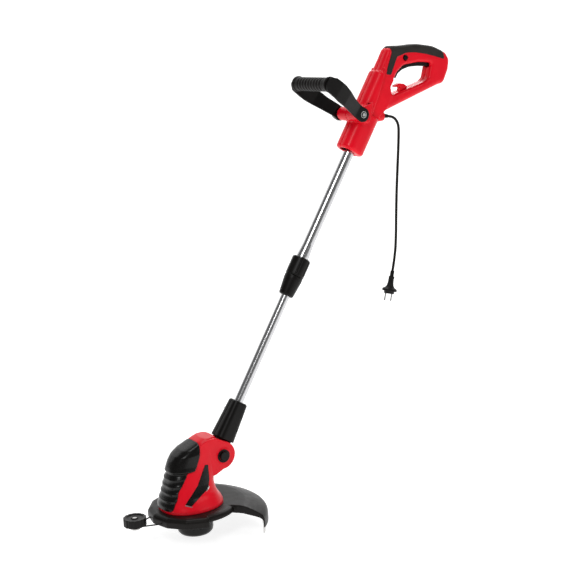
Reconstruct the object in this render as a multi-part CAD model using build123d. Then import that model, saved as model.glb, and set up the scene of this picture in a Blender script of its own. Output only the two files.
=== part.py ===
"""Corded string trimmer, about 1.3 m long: a motor head with a guard and a line spool, a two-part
telescopic aluminium shaft, and a rear D-handle with a front bail handle and a mains lead.

Everything is drawn in the head's axes: X to the rear, Y to the user's right, Z up the spool's axis,
zero at the middle of the spool's underside. It is then moved so that the row's origin is the
centre of the rear grip. Millimetres throughout.
"""

import os
from math import atan2, cos, degrees, pi, radians, sin, tan

from build123d import *

os.makedirs("parts", exist_ok=True)

# ---------------------------------------------------------------- driving dimensions
WALL = 3.0  # moulded wall thickness
FIT = 0.3  # gap between curved faces of different bodies
RUN = 0.05  # radial running clearance of a shaft in its hole

SHAFT_LEAN = 32.3  # degrees between the shaft and the spool's axis
PIVOT = Vector(66, 0, 175)  # tilt axis of the head

# stations along the shaft, from the tilt axis
SOCKET_START, SOCKET_END = 34.0, 126.0
NUT_START, NUT_END = 392.0, 441.0
SLEEVE_START, SLEEVE_END = 442.0, 487.0
FLARE_END = 522.0
HOUSING_START = 761.0
UPPER_TUBE_END = 861.0
LOWER_TUBE_START, LOWER_TUBE_END = 50.0, 590.0
SLIDE_TRAVEL = 200.0

UPPER_TUBE_R, LOWER_TUBE_R, TUBE_WALL = 12.5, 10.5, 1.0
FLARE_R = 15.0
SLEEVE_R, NUT_R_TOP, NUT_R_END = 22.0, 21.5, 17.5
SOCKET_R = 22.5
TILT_DOWN = 33  # degrees of tilt that the socket's space is cut for
LOBE_HALF = 33.0  # half the width across the tilt lobes' flat faces

# rear handle, in the side plane, from the housing's lower end
GRIP_HALF = 19.0  # half the grip's width
BARREL_HALF = 29.0  # half the barrel's width
GRIP_CENTRE = (207.0, 212.0)
BAIL_PIVOT = (11.0, 87.5)
BAIL_GRIP = (-90.5, 163.5)
BAIL_EYE_HALF, BAIL_GRIP_HALF = 47.0, 73.0
BAIL_GRIP_R = 16.0
TRIGGER_PIVOT = (236.0, 196.0)
LOCK_AT = (162.0, 208.0)
CABLE_EXIT = (104.0, 76.0)
SLEEVE_LENGTH = 30.0

# head
BASE_Z = 69.0  # underside of the red base
MOTOR_R, MOTOR_Z0, MOTOR_Z1 = 31.0, 96.0, 160.0
SHAFT_R = 4.0
FAN_Z = 76.0
SPOOL_R, SPOOL_TOP = 41.0, 58.0
BOBBIN_Z0, BOBBIN_Z1 = 11.0, 50.0
GUARD_R, GUARD_HALF_ANGLE, GUARD_RIM_Z = 166.0, 50.0, 21.0
SKIRT_R, SKIRT_Z, SKIRT_ANGLE = 101.0, 47.0, 100.0
WHEEL_AT = (-149.0, 0.0)
WHEEL_R, WHEEL_Z0, WHEEL_H = 25.5, 57.0, 18.0
WIRE_R = 1.6

# mains lead
CORD_D = 6.4
PIN_R, PIN_LENGTH, PIN_SPACING = 2.4, 19.0, 19.0
PLUG_FACE = 56.0  # from the plug's neck to the face that the pins stand on

LEAN = radians(SHAFT_LEAN)
AXIS = Vector(sin(LEAN), 0, cos(LEAN))
REAR = Vector(cos(LEAN), 0, -sin(LEAN))
HOUSING = PIVOT + AXIS * HOUSING_START
ORIGIN = HOUSING + Vector(GRIP_CENTRE[0], 0, GRIP_CENTRE[1])

along_shaft = Plane(origin=PIVOT, x_dir=REAR, z_dir=AXIS).location
housing = Location(HOUSING)


# ---------------------------------------------------------------- helpers
def save(name, shape):
    """Write one node, moved so that the rear grip's centre is the origin."""
    solids = shape.solids() if not isinstance(shape, (list, tuple)) else [s for p in shape for s in p.solids()]
    moved = [Pos(-ORIGIN.X, -ORIGIN.Y, -ORIGIN.Z) * s for s in solids]
    export_step(moved[0] if len(moved) == 1 else Compound(children=moved), f"parts/{name}.step")


def outline(points, radii):
    """A closed face in the side plane (X, Z), with a radius at every corner."""
    return make_face(Plane.XZ * FilletPolyline(*points, radius=radii, close=True))


def slab(face, half):
    """A side-plane face thickened by half each way along Y."""
    return extrude(face, amount=half, both=True)


def soften(solid, radius):
    """Round the edges that lie on the two flat sides of a slab."""
    flats = solid.faces().filter_by(Axis.Y)
    for size in (radius, radius * 0.7, radius * 0.4):
        try:
            return fillet([e for f in flats for e in f.edges()], size)
        except Exception:
            continue
    return solid


def rod(start, end, radius):
    """A round bar between two points."""
    start, end = Vector(*start), Vector(*end)
    plane = Plane(origin=start, z_dir=end - start)
    return extrude(plane * Circle(radius), amount=(end - start).length)


def cross(x, z, y0, y1, radius):
    """A round bar along Y at (x, z)."""
    return rod((x, y0, z), (x, y1, z), radius)


def tube(r_out, r_in, z0, z1):
    """A tube on the local Z axis."""
    ring = Circle(r_out) - Circle(r_in)
    return Pos(0, 0, z0) * extrude(ring, amount=z1 - z0)


def turned(points):
    """A solid of revolution about the local Z axis, from (r, z) points."""
    profile = make_face(Plane.XZ * Polyline(*points, close=True))
    return revolve(profile, Axis.Z)


def sector(points, start, arc):
    """Part of a solid of revolution about Z, from an angle start through arc degrees."""
    profile = make_face(Plane.XZ * Polyline(*points, close=True))
    return Rot(0, 0, start) * revolve(profile, Axis.Z, revolution_arc=arc)


def halves(solid):
    """The near (-Y) and far (+Y) halves of a moulding."""
    box = 2000
    near = solid & (Pos(0, -box / 2, 0) * Box(box * 2, box, box * 2))
    far = solid & (Pos(0, box / 2, 0) * Box(box * 2, box, box * 2))
    return near, far


def screw(x, z, y_head, y_tip, head_r=3.6, shank_r=1.6):
    """A cross-head screw along Y, with its head at y_head and its tip at y_tip."""
    way = 1 if y_tip > y_head else -1
    head = cross(x, z, y_head, y_head + way * 2.4, head_r)
    shank = cross(x, z, y_head + way * 2.4, y_tip, shank_r)
    slot = Box(head_r * 1.3, 2.4, 0.9) + Box(0.9, 2.4, head_r * 1.3)
    return head + shank - Pos(x, y_head, z) * slot


def coil_spring(radius, wire, height, turns):
    """A compression spring standing on the local XY plane."""
    path = Helix(pitch=height / turns, height=height, radius=radius)
    section = Plane(origin=path @ 0, z_dir=path % 0) * Circle(wire)
    return sweep(section, path=path)


# ---------------------------------------------------------------- rear handle
GRIP_OUTLINE = [
    (100, 88), (184, 114), (262, 138), (280, 141), (296, 172), (300, 196), (290, 213),
    (251, 230), (200, 238), (160, 236), (128, 237), (114, 230), (92, 192), (60, 150),
]
GRIP_RADII = [4, 60, 12, 16, 30, 14, 12, 70, 120, 60, 8, 12, 10, 10]
LOOP_OUTLINE = [(121, 123), (222, 149), (233, 157), (243, 192), (205, 196), (158, 192), (138, 177), (114, 142)]
LOOP_RADII = [8, 10, 8, 6, 60, 22, 16, 10]


def handle_plate(grow):
    """The D-handle as a softened slab; grow is added to its outside and taken from its loop."""
    outer = outline(GRIP_OUTLINE, GRIP_RADII)
    loop = outline(LOOP_OUTLINE, LOOP_RADII)
    if grow:
        outer = offset(outer, grow, kind=Kind.INTERSECTION)
        loop = offset(loop, -grow, kind=Kind.INTERSECTION)
    plate = soften(slab(outer, GRIP_HALF + grow), 11 + grow)
    return plate - soften_hole(loop, GRIP_HALF + grow, grow)


def soften_hole(face, half, grow):
    """The loop's hole, flared a little at both sides so that its edges are rounded."""
    hole = slab(face, half + 1)
    flare = 4 + grow * 0.5
    for way in (-1, 1):
        wide = offset(face, flare, kind=Kind.ARC)
        rim = Pos(0, way * half, 0) * face
        mouth = Pos(0, way * (half + 0.01), 0) * wide
        inner = Pos(0, -way * flare, 0) * rim
        hole += loft([inner, mouth])
    return hole


def barrel(grow):
    """The straight lower part of the housing, on the shaft's axis."""
    width, depth = 2 * (BARREL_HALF + grow), 60 + 2 * grow
    section = Pos(-1, 0, max(0, -grow)) * RectangleRounded(depth, width, 21 + grow)
    body = extrude(section, amount=208 if grow >= 0 else 190)
    if grow >= 0:
        body = fillet(body.edges().group_by(Axis.Z)[0], 7)
        body = chamfer(body.edges().group_by(Axis.Z)[-1], 12)
    return along_local(body)


def ridge(grow):
    """The narrow cap that carries the front ridge up to the grip."""
    section = Pos(-11, 0) * RectangleRounded(28 + 2 * grow, 38 + 2 * grow, 9)
    return along_local(extrude(section, amount=238 + grow))


def front_boss(grow):
    """The cross boss that carries the bail handle's pivot."""
    x, z = BAIL_PIVOT
    half = BAIL_EYE_HALF - 11 + grow
    drum = cross(x, z, -half, half, 16 + grow)
    block = slab(outline([(x - 2, z - 16 - grow), (x + 26, z - 20 - grow), (x + 40, z + 26), (x + 6, z + 16 + grow)], 3), half)
    return drum + block


def cable_boss(grow):
    """The boss at the back that the mains lead leaves from."""
    x, z = CABLE_EXIT
    return rod((x - 50, 0, z - 2), (x - 3 + grow, 0, z), 12 + grow)


def handle_solid(grow):
    body = handle_plate(grow) + barrel(grow) + ridge(grow)
    body -= slab(offset(outline(LOOP_OUTLINE, LOOP_RADII), -grow, kind=Kind.INTERSECTION) if grow else loop_face(), 60)
    return body + front_boss(grow) + cable_boss(grow)


def loop_face():
    return outline(LOOP_OUTLINE, LOOP_RADII)


def soft_region():
    """Side view of the rubber on top of the grip, with the tongue that runs down the shaft."""
    points = [
        (121, 250), (262, 250), (277, 240), (280, 198), (253, 206), (222, 214), (191, 219), (164, 220),
        (146, 214), (137, 212), (117, 171), (101, 172), (121, 222),
    ]
    return slab(outline(points, [4, 2, 2, 2, 60, 60, 60, 40, 8, 5, 4, 4, 4]), 60)


def build_handle():
    outer = handle_solid(0)
    cavity = handle_solid(-WALL)
    skin = (handle_plate(0.8) - handle_plate(-1.6)) & soft_region()
    solid = outer - cavity
    solid -= skin
    tube_hole = along_local(tube_core(UPPER_TUBE_R, -12, 101))
    clamp_ring = along_local(tube(BARREL_HALF - 5, UPPER_TUBE_R, 14, 22) + tube(BARREL_HALF - 5, UPPER_TUBE_R, 84, 92))
    solid += clamp_ring & outer
    solid -= tube_hole
    x, z = BAIL_PIVOT
    solid -= cross(x, z, -60, 60, 4.2)
    solid -= cross(*LOCK_AT, -30, 0, 6.6)
    solid -= trigger_slot()
    end = Vector(CORD_ROUTE[0][0], 0, CORD_ROUTE[0][1])
    way = (Vector(CORD_ROUTE[1][0], 0, CORD_ROUTE[1][1]) - end).normalized()
    inside = end - way * (SLEEVE_LENGTH + 12)
    solid -= rod(inside, end - way * (SLEEVE_LENGTH - 4), 7.2)
    solid -= rod(inside, end + way * 5, 5.5)
    near, far = (max(half.solids(), key=lambda s: s.volume) for half in halves(solid))
    return near, far, skin


def tube_core(radius, z0, z1):
    return Pos(0, 0, z0) * extrude(Circle(radius), amount=z1 - z0)


def along_local(shape):
    """Place a shape drawn on Z along the shaft, from the housing's lower end."""
    return Plane(origin=(0, 0, 0), x_dir=REAR, z_dir=AXIS).location * shape


def cord_hook():
    """The hook inside the loop that holds an extension lead."""
    points = [
        (150, 130.52), (174, 136.7), (172, 142), (164, 147), (150, 149), (137, 144), (140, 140.5), (149, 142), (154, 138),
    ]
    return soften(slab(outline(points, [1, 1, 3, 5, 6, 1, 1, 3, 3]), 7), 1.6)


def trigger_slot():
    """The opening under the grip that the trigger works in."""
    points = [(134, 158), (127, 176), (141, 206), (236, 208), (251, 203), (251, 182), (205, 181), (160, 178), (146, 164)]
    return slab(outline(points, 2), 7.6)


def build_trigger():
    x, z = TRIGGER_PIVOT
    points = [
        (135, 165), (140, 161), (147, 172), (160, 180), (180, 185.5), (207, 186), (244, 183), (244, 202),
        (228, 203), (205, 200), (160, 197), (143, 188),
    ]
    body = slab(outline(points, [2, 2, 8, 20, 60, 60, 4, 4, 3, 60, 20, 6]), 7)
    return soften(body, 2) - cross(x, z, -10, 10, 2 + RUN)


def build_bail():
    """The U-shaped front handle: two broad arms that taper to eyes, and the bar between them."""
    px, pz = BAIL_PIVOT
    gx, gz = BAIL_GRIP
    run = Vector(gx - px, 0, gz - pz)
    length = run.length
    turn = degrees(atan2(run.Z, run.X))
    side = Polyline(
        (0, -15), (length * 0.35, -15), (length * 0.72, -21), (length - 4, -20), (length + 12, -12),
        (length + 14, 8), (length + 2, 19), (length * 0.7, 21), (length * 0.38, 18), (0, 15.5), close=True,
    )
    shape = fillet(make_face(side).vertices(), 7)
    blank = extrude(Plane.XZ * shape, amount=100, both=True)
    blank += rod((0, -100, 0), (0, 100, 0), 17)
    half_eye, half_grip, thick = BAIL_EYE_HALF, BAIL_GRIP_HALF, 6.0
    plan_out = [
        (-20, half_eye), (18, half_eye), (length * 0.55, half_grip - 6), (length - 24, half_grip),
        (length + 18, half_grip), (length + 18, -half_grip), (length - 24, -half_grip),
        (length * 0.55, 6 - half_grip), (18, -half_eye), (-20, -half_eye),
    ]
    inner = half_eye - thick
    wide = half_grip - thick
    plan_in = [
        (-30, inner), (18, inner), (length * 0.55, wide - 6), (length - 24, wide), (length + 30, wide),
        (length + 30, -wide), (length - 24, -wide), (length * 0.55, 6 - wide), (18, -inner), (-30, -inner),
    ]
    outer = extrude(make_face(Polyline(*plan_out, close=True)), amount=60, both=True)
    gap = extrude(make_face(Polyline(*plan_in, close=True)), amount=61, both=True)
    arms = blank & (outer - gap)
    bar = rod((length, -wide, 0), (length, wide, 0), 11)
    body = arms + bar
    body -= rod((0, -80, 0), (0, 80, 0), 4.2)
    swing = Pos(px, 0, pz) * Rot(0, -turn, 0)
    ribs = tube(BAIL_GRIP_R, 11, -wide + 1, wide - 1)
    pitch = 11.0
    for i in range(-4, 5):
        ribs -= Pos(0, 0, i * pitch) * Torus(BAIL_GRIP_R + 1.2, 3.0)
    for way in (-1, 1):
        ribs += Pos(0, 0, way * (wide - 4)) * tube(BAIL_GRIP_R + 2, 11, -3, 3)
    sleeve = Pos(length, 0, 0) * Rot(90, 0, 0) * ribs
    return swing * body, swing * sleeve


def build_clamp():
    """Cross bolt, its washer on the near side, and the knob on the far side."""
    x, z = BAIL_PIVOT
    eye = BAIL_EYE_HALF
    bolt = cross(x, z, -eye - 3, eye + 16, 4.0)
    bolt += cross(x, z, -eye - 3, -eye - 0.4, 3.9)
    washer = turned([(6.3, 0), (7.9, 0), (7.9, 1.6), (6.3, 1.6)])
    washer = Pos(x, -eye - 0.1, z) * Rot(90, 0, 0) * washer
    knob = turned([(4 + RUN, 0), (16, 0), (17, 2), (17, 6), (13, 9), (11, 19), (8, 21), (4 + RUN, 21)])
    grips = [Rot(0, 0, i * 60) * Pos(19.5, 0, 11) * Cylinder(6, 16) for i in range(6)]
    for grip in grips:
        knob -= grip
    return bolt, washer, Pos(x, eye + FIT, z) * Rot(-90, 0, 0) * knob


# ---------------------------------------------------------------- mains lead
# (X, Z) from the housing's lower end; the last run lies on the plug's own axis
PLUG_LEAN = 14.0
PLUG_NECK = 41.0  # the cord's last run, above the plug
PLUG_TOP = (126 - PLUG_NECK * sin(radians(PLUG_LEAN)), -262 - PLUG_NECK * cos(radians(PLUG_LEAN)))
CORD_ROUTE = [
    (118, 73.8), (129.4, 72), (139.2, 66.1), (146.1, 56.9), (149.2, 45.3), (148.4, 23.3), (145.5, -13),
    (141, -60), (136.5, -112), (133, -165), (130.5, -215), (126, -262), PLUG_TOP,
]


def cord_radii(points):
    """The largest tangent arc that the two runs at each corner leave room for."""
    radii = []
    for before, here, after in zip(points, points[1:], points[2:]):
        first, second = here - before, after - here
        half_turn = radians(first.get_angle(second)) / 2
        radii.append(0.45 * min(first.length, second.length) / tan(half_turn))
    return radii


def build_cord():
    points = [Vector(x, 0, z) for x, z in CORD_ROUTE]
    radii = cord_radii(points)
    path = FilletPolyline(*points, radius=radii)
    section = Plane(origin=points[0], z_dir=points[1] - points[0]) * Circle(CORD_D / 2)
    cord = sweep(section, path=path)
    print("cord arc radii", [round(r, 1) for r in radii])
    print("cord length", round(path.length, 1), "volume ratio", round(cord.volume / (path.length * pi * CORD_D**2 / 4), 3))
    return cord


def build_sleeve():
    """The ribbed strain relief: a tapered stub that points the way the lead leaves."""
    end = Vector(CORD_ROUTE[0][0], 0, CORD_ROUTE[0][1])
    way = (Vector(CORD_ROUTE[1][0], 0, CORD_ROUTE[1][1]) - end).normalized()
    length = SLEEVE_LENGTH
    start = end - way * length
    points = [(0, 0), (7, 0), (7, 4), (5, 4), (5, 9)]
    for i in range(4):
        z = 10 + i * 4.2
        r = 5.4 - i * 0.35
        points += [(r, z), (r, z + 2.4), (r - 0.8, z + 2.6), (r - 0.8, z + 3.8)]
    points += [(CORD_D / 2 + 0.6, length), (0, length)]
    shape = turned(points)
    return Plane(origin=start, z_dir=way).location * shape


def build_plug():
    """A moulded two-pin contour plug: neck, flared body, round flange, and the two pins."""
    profile = [
        (0, 0), (4.6, 0), (5.2, 2), (5.0, 12), (7.0, 12.5), (7.4, 15), (6.6, 16), (7.2, 30), (9.0, 38),
        (13.0, 42), (17.8, 44), (18.2, 46), (18.2, 49), (17.0, 50), (13.0, 50), (12.6, PLUG_FACE), (0, PLUG_FACE),
    ]
    body = turned(profile)
    pins = [Pos(way * PIN_SPACING / 2, 0, PLUG_FACE) * pin() for way in (-1, 1)]
    for blade in pins:
        body -= blade
    place = Plane(origin=(PLUG_TOP[0], 0, PLUG_TOP[1]), x_dir=(cos(radians(PLUG_LEAN)), 0, -sin(radians(PLUG_LEAN))),
                  z_dir=(-sin(radians(PLUG_LEAN)), 0, -cos(radians(PLUG_LEAN)))).location
    return place * body, [place * p for p in pins]


def pin():
    blade = fillet(extrude(Circle(PIN_R), amount=PIN_LENGTH).edges().group_by(Axis.Z)[-1], 1.6)
    return blade + Pos(0, 0, -6) * extrude(Circle(PIN_R - 0.4), amount=6)


# ---------------------------------------------------------------- inside the handle
def build_switch():
    """The mains switch behind the trigger, with its plunger."""
    case = Pos(203, 0, 211) * Rot(0, 4, 0) * Box(30, 15, 13)
    return case + Pos(196, 0, 205.2) * Box(6, 6, 3.6)


def build_springs():
    trigger_spring = Pos(178, 0, 201.5) * coil_spring(3.2, 0.5, 12, 5)
    x, z = LOCK_AT
    lock_spring = Pos(x, -8.9, z) * Rot(-90, 0, 0) * coil_spring(2.6, 0.4, 14, 6)
    return trigger_spring, lock_spring


def build_lock_button():
    """The oval lock-off button on the near side."""
    x, z = LOCK_AT
    oval = Plane.XZ * Ellipse(6.0, 5.0)
    head = Pos(x, -9.5, z) * extrude(oval, amount=12)
    return fillet(head.edges().sort_by(Axis.Y)[0], 1.2)


# ---------------------------------------------------------------- shaft
def build_upper_tube():
    """The polished upper tube: flared where it meets the twist-lock collar."""
    inner = TUBE_WALL
    points = [
        (FLARE_R, SLEEVE_END - 22), (FLARE_R, SLEEVE_END + 4), (FLARE_R - 0.6, SLEEVE_END + 12),
        (UPPER_TUBE_R + 0.5, FLARE_END - 6), (UPPER_TUBE_R, FLARE_END), (UPPER_TUBE_R, UPPER_TUBE_END),
        (UPPER_TUBE_R - inner, UPPER_TUBE_END), (UPPER_TUBE_R - inner, FLARE_END),
        (UPPER_TUBE_R + 0.5 - inner, FLARE_END - 6), (FLARE_R - 0.6 - inner, SLEEVE_END + 12),
        (FLARE_R - inner, SLEEVE_END + 4), (FLARE_R - inner, SLEEVE_END - 22),
    ]
    return along_shaft * turned(points)


def build_sleeve_collar():
    """The upper half of the twist-lock collar, fixed to the upper tube; its tail is the nut's thread."""
    z0, z1 = SLEEVE_START, SLEEVE_END
    points = [
        (FLARE_R, z0 + 22), (FLARE_R, z1), (SLEEVE_R - 3, z1), (SLEEVE_R, z1 - 3), (SLEEVE_R, z0 + 2),
        (SLEEVE_R - 1, z0), (SLEEVE_R - 5, z0), (SLEEVE_R - 5, z0 - 20), (LOWER_TUBE_R + 3.5, z0 - 20),
        (LOWER_TUBE_R + 3.5, z0 - 2), (FLARE_R - TUBE_WALL, z0 + 4), (FLARE_R - TUBE_WALL, z0 + 22),
    ]
    body = turned(points)
    ribs = [Rot(0, 0, i * 60) * Pos(SLEEVE_R + 0.2, 0, (z0 + z1) / 2) * Box(1.6, 5, z1 - z0 - 10) for i in range(6)]
    for rib in ribs:
        body += rib
    return along_shaft * body


def build_collet():
    """The split clamping ring that the nut squeezes on the lower tube."""
    z0 = SLEEVE_START - 38
    points = [
        (LOWER_TUBE_R + FIT, z0), (LOWER_TUBE_R + 2.2, z0), (LOWER_TUBE_R + 5.2, z0 + 14),
        (LOWER_TUBE_R + 5.2, z0 + 17), (LOWER_TUBE_R + FIT, z0 + 17),
    ]
    ring = turned(points)
    ring -= Pos(LOWER_TUBE_R + 3, 0, z0 + 8) * Box(9, 2.5, 30)
    return along_shaft * ring


def build_nut():
    """The tapered lower half of the collar, which turns to lock the lower tube."""
    z0, z1 = NUT_START, NUT_END
    hole = LOWER_TUBE_R + 1.0
    points = [
        (hole, z0), (NUT_R_END - 2, z0), (NUT_R_END, z0 + 3), (NUT_R_TOP, z1 - 8), (NUT_R_TOP, z1),
        (SLEEVE_R - 4.6, z1), (SLEEVE_R - 4.6, z1 - 21), (LOWER_TUBE_R + 6.0, z1 - 22),
        (LOWER_TUBE_R + 6.0, z0 + 24), (hole, z0 + 8),
    ]
    body = turned(points)
    for i in range(8):
        flute = Rot(0, 0, 22.5 + i * 45) * Pos(NUT_R_TOP + 1.3, 0, (z0 + z1) / 2) * Rot(0, 5, 0)
        body -= flute * Cylinder(2.4, z1 - z0 - 14)
    return along_shaft * body


def build_bush():
    """The guide bush at the top of the lower tube; it slides in the upper tube."""
    z1 = LOWER_TUBE_END
    inner = UPPER_TUBE_R - TUBE_WALL
    points = [
        (LOWER_TUBE_R - TUBE_WALL - RUN, z1 - 15), (LOWER_TUBE_R - TUBE_WALL - RUN, z1 + FIT),
        (inner - RUN, z1 + FIT), (inner - RUN, z1 + 8), (4.5, z1 + 8), (4.5, z1 - 15),
    ]
    return along_shaft * turned(points)


def build_lower_tube():
    return along_shaft * tube(LOWER_TUBE_R, LOWER_TUBE_R - TUBE_WALL, LOWER_TUBE_START, LOWER_TUBE_END)


def build_tube_lead():
    """The two-core lead inside the lower tube."""
    return along_shaft * tube_core(2.6, LOWER_TUBE_START + 4, LOWER_TUBE_END - 20)


def socket_section(radius):
    """An octagon-like section with rounded corners, wide across Y."""
    return RectangleRounded(2 * radius, 2 * radius, radius * 0.62)


def build_socket():
    """The black socket that holds the lower tube, with the tilt knuckle at its lower end."""
    low, high = SOCKET_START, SOCKET_END
    body = loft([Pos(0, 0, low) * socket_section(SOCKET_R + 1.5), Pos(0, 0, high) * socket_section(SOCKET_R - 3.5)])
    body = chamfer(body.edges().group_by(Axis.Z)[-1], 3)
    body += Rot(90, 0, 0) * Cylinder(23, 30)
    body += Pos(0, 0, 20) * Box(34, 30, 30)
    body -= Rot(90, 0, 0) * Cylinder(9, 100)
    body -= Pos(0, 0, LOWER_TUBE_START) * extrude(Circle(LOWER_TUBE_R), amount=200)
    body -= Pos(0, 0, 8) * extrude(Circle(4), amount=60)
    for z in (66, 96):
        for way in (-1, 1):
            body -= Pos(14, way * 20, z) * Rot(0, 12, 0) * Box(2.6, 9, 12)
    for i in range(4, 8):
        body -= Rot(0, i * 36, 0) * Pos(21.8, 0, 0) * Box(2.6, 31, 2.6)
    body = along_shaft * body
    for screw_solid in build_socket_screws():
        body -= screw_solid
    return [max(half.solids(), key=lambda s: s.volume) for half in halves(body)]


def build_socket_screws():
    """Screws on the far side that hold the two socket halves together."""
    screws = []
    for rear, s in ((-15.5, 64), (15.5, 64), (-14.5, 100), (14.5, 100)):
        at = PIVOT + AXIS * s + REAR * rear
        screws.append(screw(at.X, at.Z, 18, -8, 3.0, 1.4))
    return screws


# ---------------------------------------------------------------- motor head
# height, front, rear, half width and corner radius of the head's level sections
HEAD_SECTIONS = [
    (69, -80, 69, 62, 58), (80, -79.5, 66, 58, 52), (94, -77, 55, 49, 42), (108, -71.5, 48.5, 44.5, 34),
    (124, -66, 46.5, 42, 30), (140, -62, 50, 39, 28), (156, -58, 59, 35.5, 24), (172, -52.5, 68, 33, 20),
    (186, -44, 70, 31.5, 18), (200, -27, 66, 29, 18), (212, -4, 60, 24, 16), (220, 20, 52, 14, 10),
]
CHEEK_OUTLINE = [
    (10, 205), (38, 222), (56, 220), (82, 205), (98, 184), (99, 166), (87, 150), (70, 142), (47, 133), (10, 128),
]
CHEEK_RADII = [4, 20, 20, 20, 16, 16, 16, 30, 4, 4]


def head_solid(grow):
    """The head's outer shape, lofted through its level sections; grow moves its skin outwards."""
    faces = []
    last = len(HEAD_SECTIONS) - 1
    for i, (z, front, rear, half, corner) in enumerate(HEAD_SECTIONS):
        level = z + (grow if i == last else 0)
        size = (rear - front + 2 * grow, 2 * (half + grow))
        faces.append(Pos((front + rear) / 2, 0, level) * RectangleRounded(*size, corner + grow))
    return loft(faces, ruled=True)


def cheek(way, inner, outer):
    """One of the two walls that hold the tilt knuckle."""
    face = outline(CHEEK_OUTLINE, CHEEK_RADII)
    return Pos(0, way * (inner + outer) / 2, 0) * slab(face, (outer - inner) / 2)


def socket_space():
    """What the socket and its knuckle sweep as the head tilts."""
    space = None
    for turn in range(0, TILT_DOWN + 1, 11):
        block = Pos(0, 0, SOCKET_START + 49.4) * Box(50, 56, 100)
        neck = Pos(0, 0, 30) * Box(36, 31, 60)
        at = Location(PIVOT) * Rot(0, turn, 0) * Location(PIVOT * -1) * along_shaft
        space = at * (block + neck) if space is None else space + at * (block + neck)
    return space


def cover_region(shift):
    """Side view of the black motor cover: everything in front of the slanting seam."""
    points = [
        (14 - shift, 260), (12 - shift, 201), (4 - shift, 180), (-9 - shift, 159), (-23 - shift, 152),
        (-53 - shift, 112), (-54 - shift, 104), (-73 - shift, 84), (-76 - shift, 80 + shift), (-150, 80 + shift),
        (-150, 260),
    ]
    return slab(make_face(Plane.XZ * Polyline(*points, close=True)), 90)


def build_head():
    outer = head_solid(0)
    cavity = head_solid(-WALL)
    cavity -= Box(400, 400, 2 * (BASE_Z + WALL))
    shell = outer - cavity
    x, z = PIVOT.X, PIVOT.Z
    for way in (-1, 1):
        shell += cheek(way, 15.5, LOBE_HALF - 2)
        shell += cross(x, z, way * 15.5, way * LOBE_HALF, 17)
    shell -= cover_region(0)
    shell -= rod((0, 0, MOTOR_Z0 - 1), (0, 0, MOTOR_Z1 + 12), MOTOR_R + 0.4)
    shell -= cross(x, z, -15.5, 15.5, 24)
    shell -= socket_space()
    shell -= cross(x, z, -60, LOBE_HALF - 4, 8.4)
    shell -= rod((0, 0, 0), (0, 0, MOTOR_Z0), 11)
    for shank in guard_screw_spots():
        shell -= rod((*shank, 0), (*shank, BASE_Z + 8), 1.5)
    for way in (-1, 1):
        shell -= cross(x, z, way * LOBE_HALF, way * 60, 15.5)
    for x, z, half in HEAD_SCREWS:
        shell -= cross(x, z, half - 22, half, 1.5) + cross(x, z, half, half + 12, 3.6)
    for y in (-1, 1):
        shell -= badge_pocket(y)
    near, far = halves(shell)
    crest = head_solid(1.2) - head_solid(-1.8)
    cover = crest & cover_region(0.3)
    for z_slot in (96, 110, 124, 138):
        ridge_bar = Pos(-62 - (100 - z_slot) * 0.25, 0, z_slot) * Rot(0, -14, 0) * Box(30, 56, 3.2)
        cover += (ridge_bar & (head_solid(3.2) - head_solid(-1.8))) & cover_region(0.3)
    cover = max(cover.solids(), key=lambda s: s.volume)
    return near, far, cover


BADGE_POINTS = [(19, 162), (27, 161), (24, 131), (18, 110), (-31, 80), (-42, 86), (-8, 122)]


def badge_pocket(way):
    face = outline(BADGE_POINTS, 1.5)
    prism = Pos(0, way * 60, 0) * slab(face, 40)
    return prism & (head_solid(0.1) - head_solid(-1.2))


def build_badges():
    """The two plain black panels let into the sides of the head."""
    pads = []
    for way in (-1, 1):
        face = outline(BADGE_POINTS, 1.5)
        prism = Pos(0, way * 60, 0) * slab(offset(face, -0.2), 39)
        pads.append(prism & (head_solid(0.5) - head_solid(-1.2)))
    return pads


def build_motor():
    """Motor can with its end cap, the brushes and the two bearings."""
    z0, z1 = MOTOR_Z0, MOTOR_Z1
    can = tube(MOTOR_R, MOTOR_R - 2, z0, z1 - 10) + tube(MOTOR_R, 8.1, z0 - 2, z0)
    cap = turned([(8.1, z1 - 8), (MOTOR_R, z1 - 8), (MOTOR_R, z1), (14, z1), (14, z1 + 6), (8.1, z1 + 6)])
    cap += tube(MOTOR_R, MOTOR_R - 2, z1 - 9.8, z1 - 8)
    magnets = tube(MOTOR_R - 2, MOTOR_R - 8, z0 + 8, z1 - 22)
    magnets -= Pos(0, 0, 100) * Box(100, 12, 200)
    brushes = []
    for way in (-1, 1):
        slot = Pos(way * 19, 0, z1 - 13) * Box(16, 6, 5)
        brushes.append(slot)
    low = tube(8.1, SHAFT_R + RUN, z0 - 2, z0 + 3)
    high = tube(8.1, SHAFT_R + RUN, z1 - 6, z1)
    return can, cap, magnets.solids(), brushes, [low, high]


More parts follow.
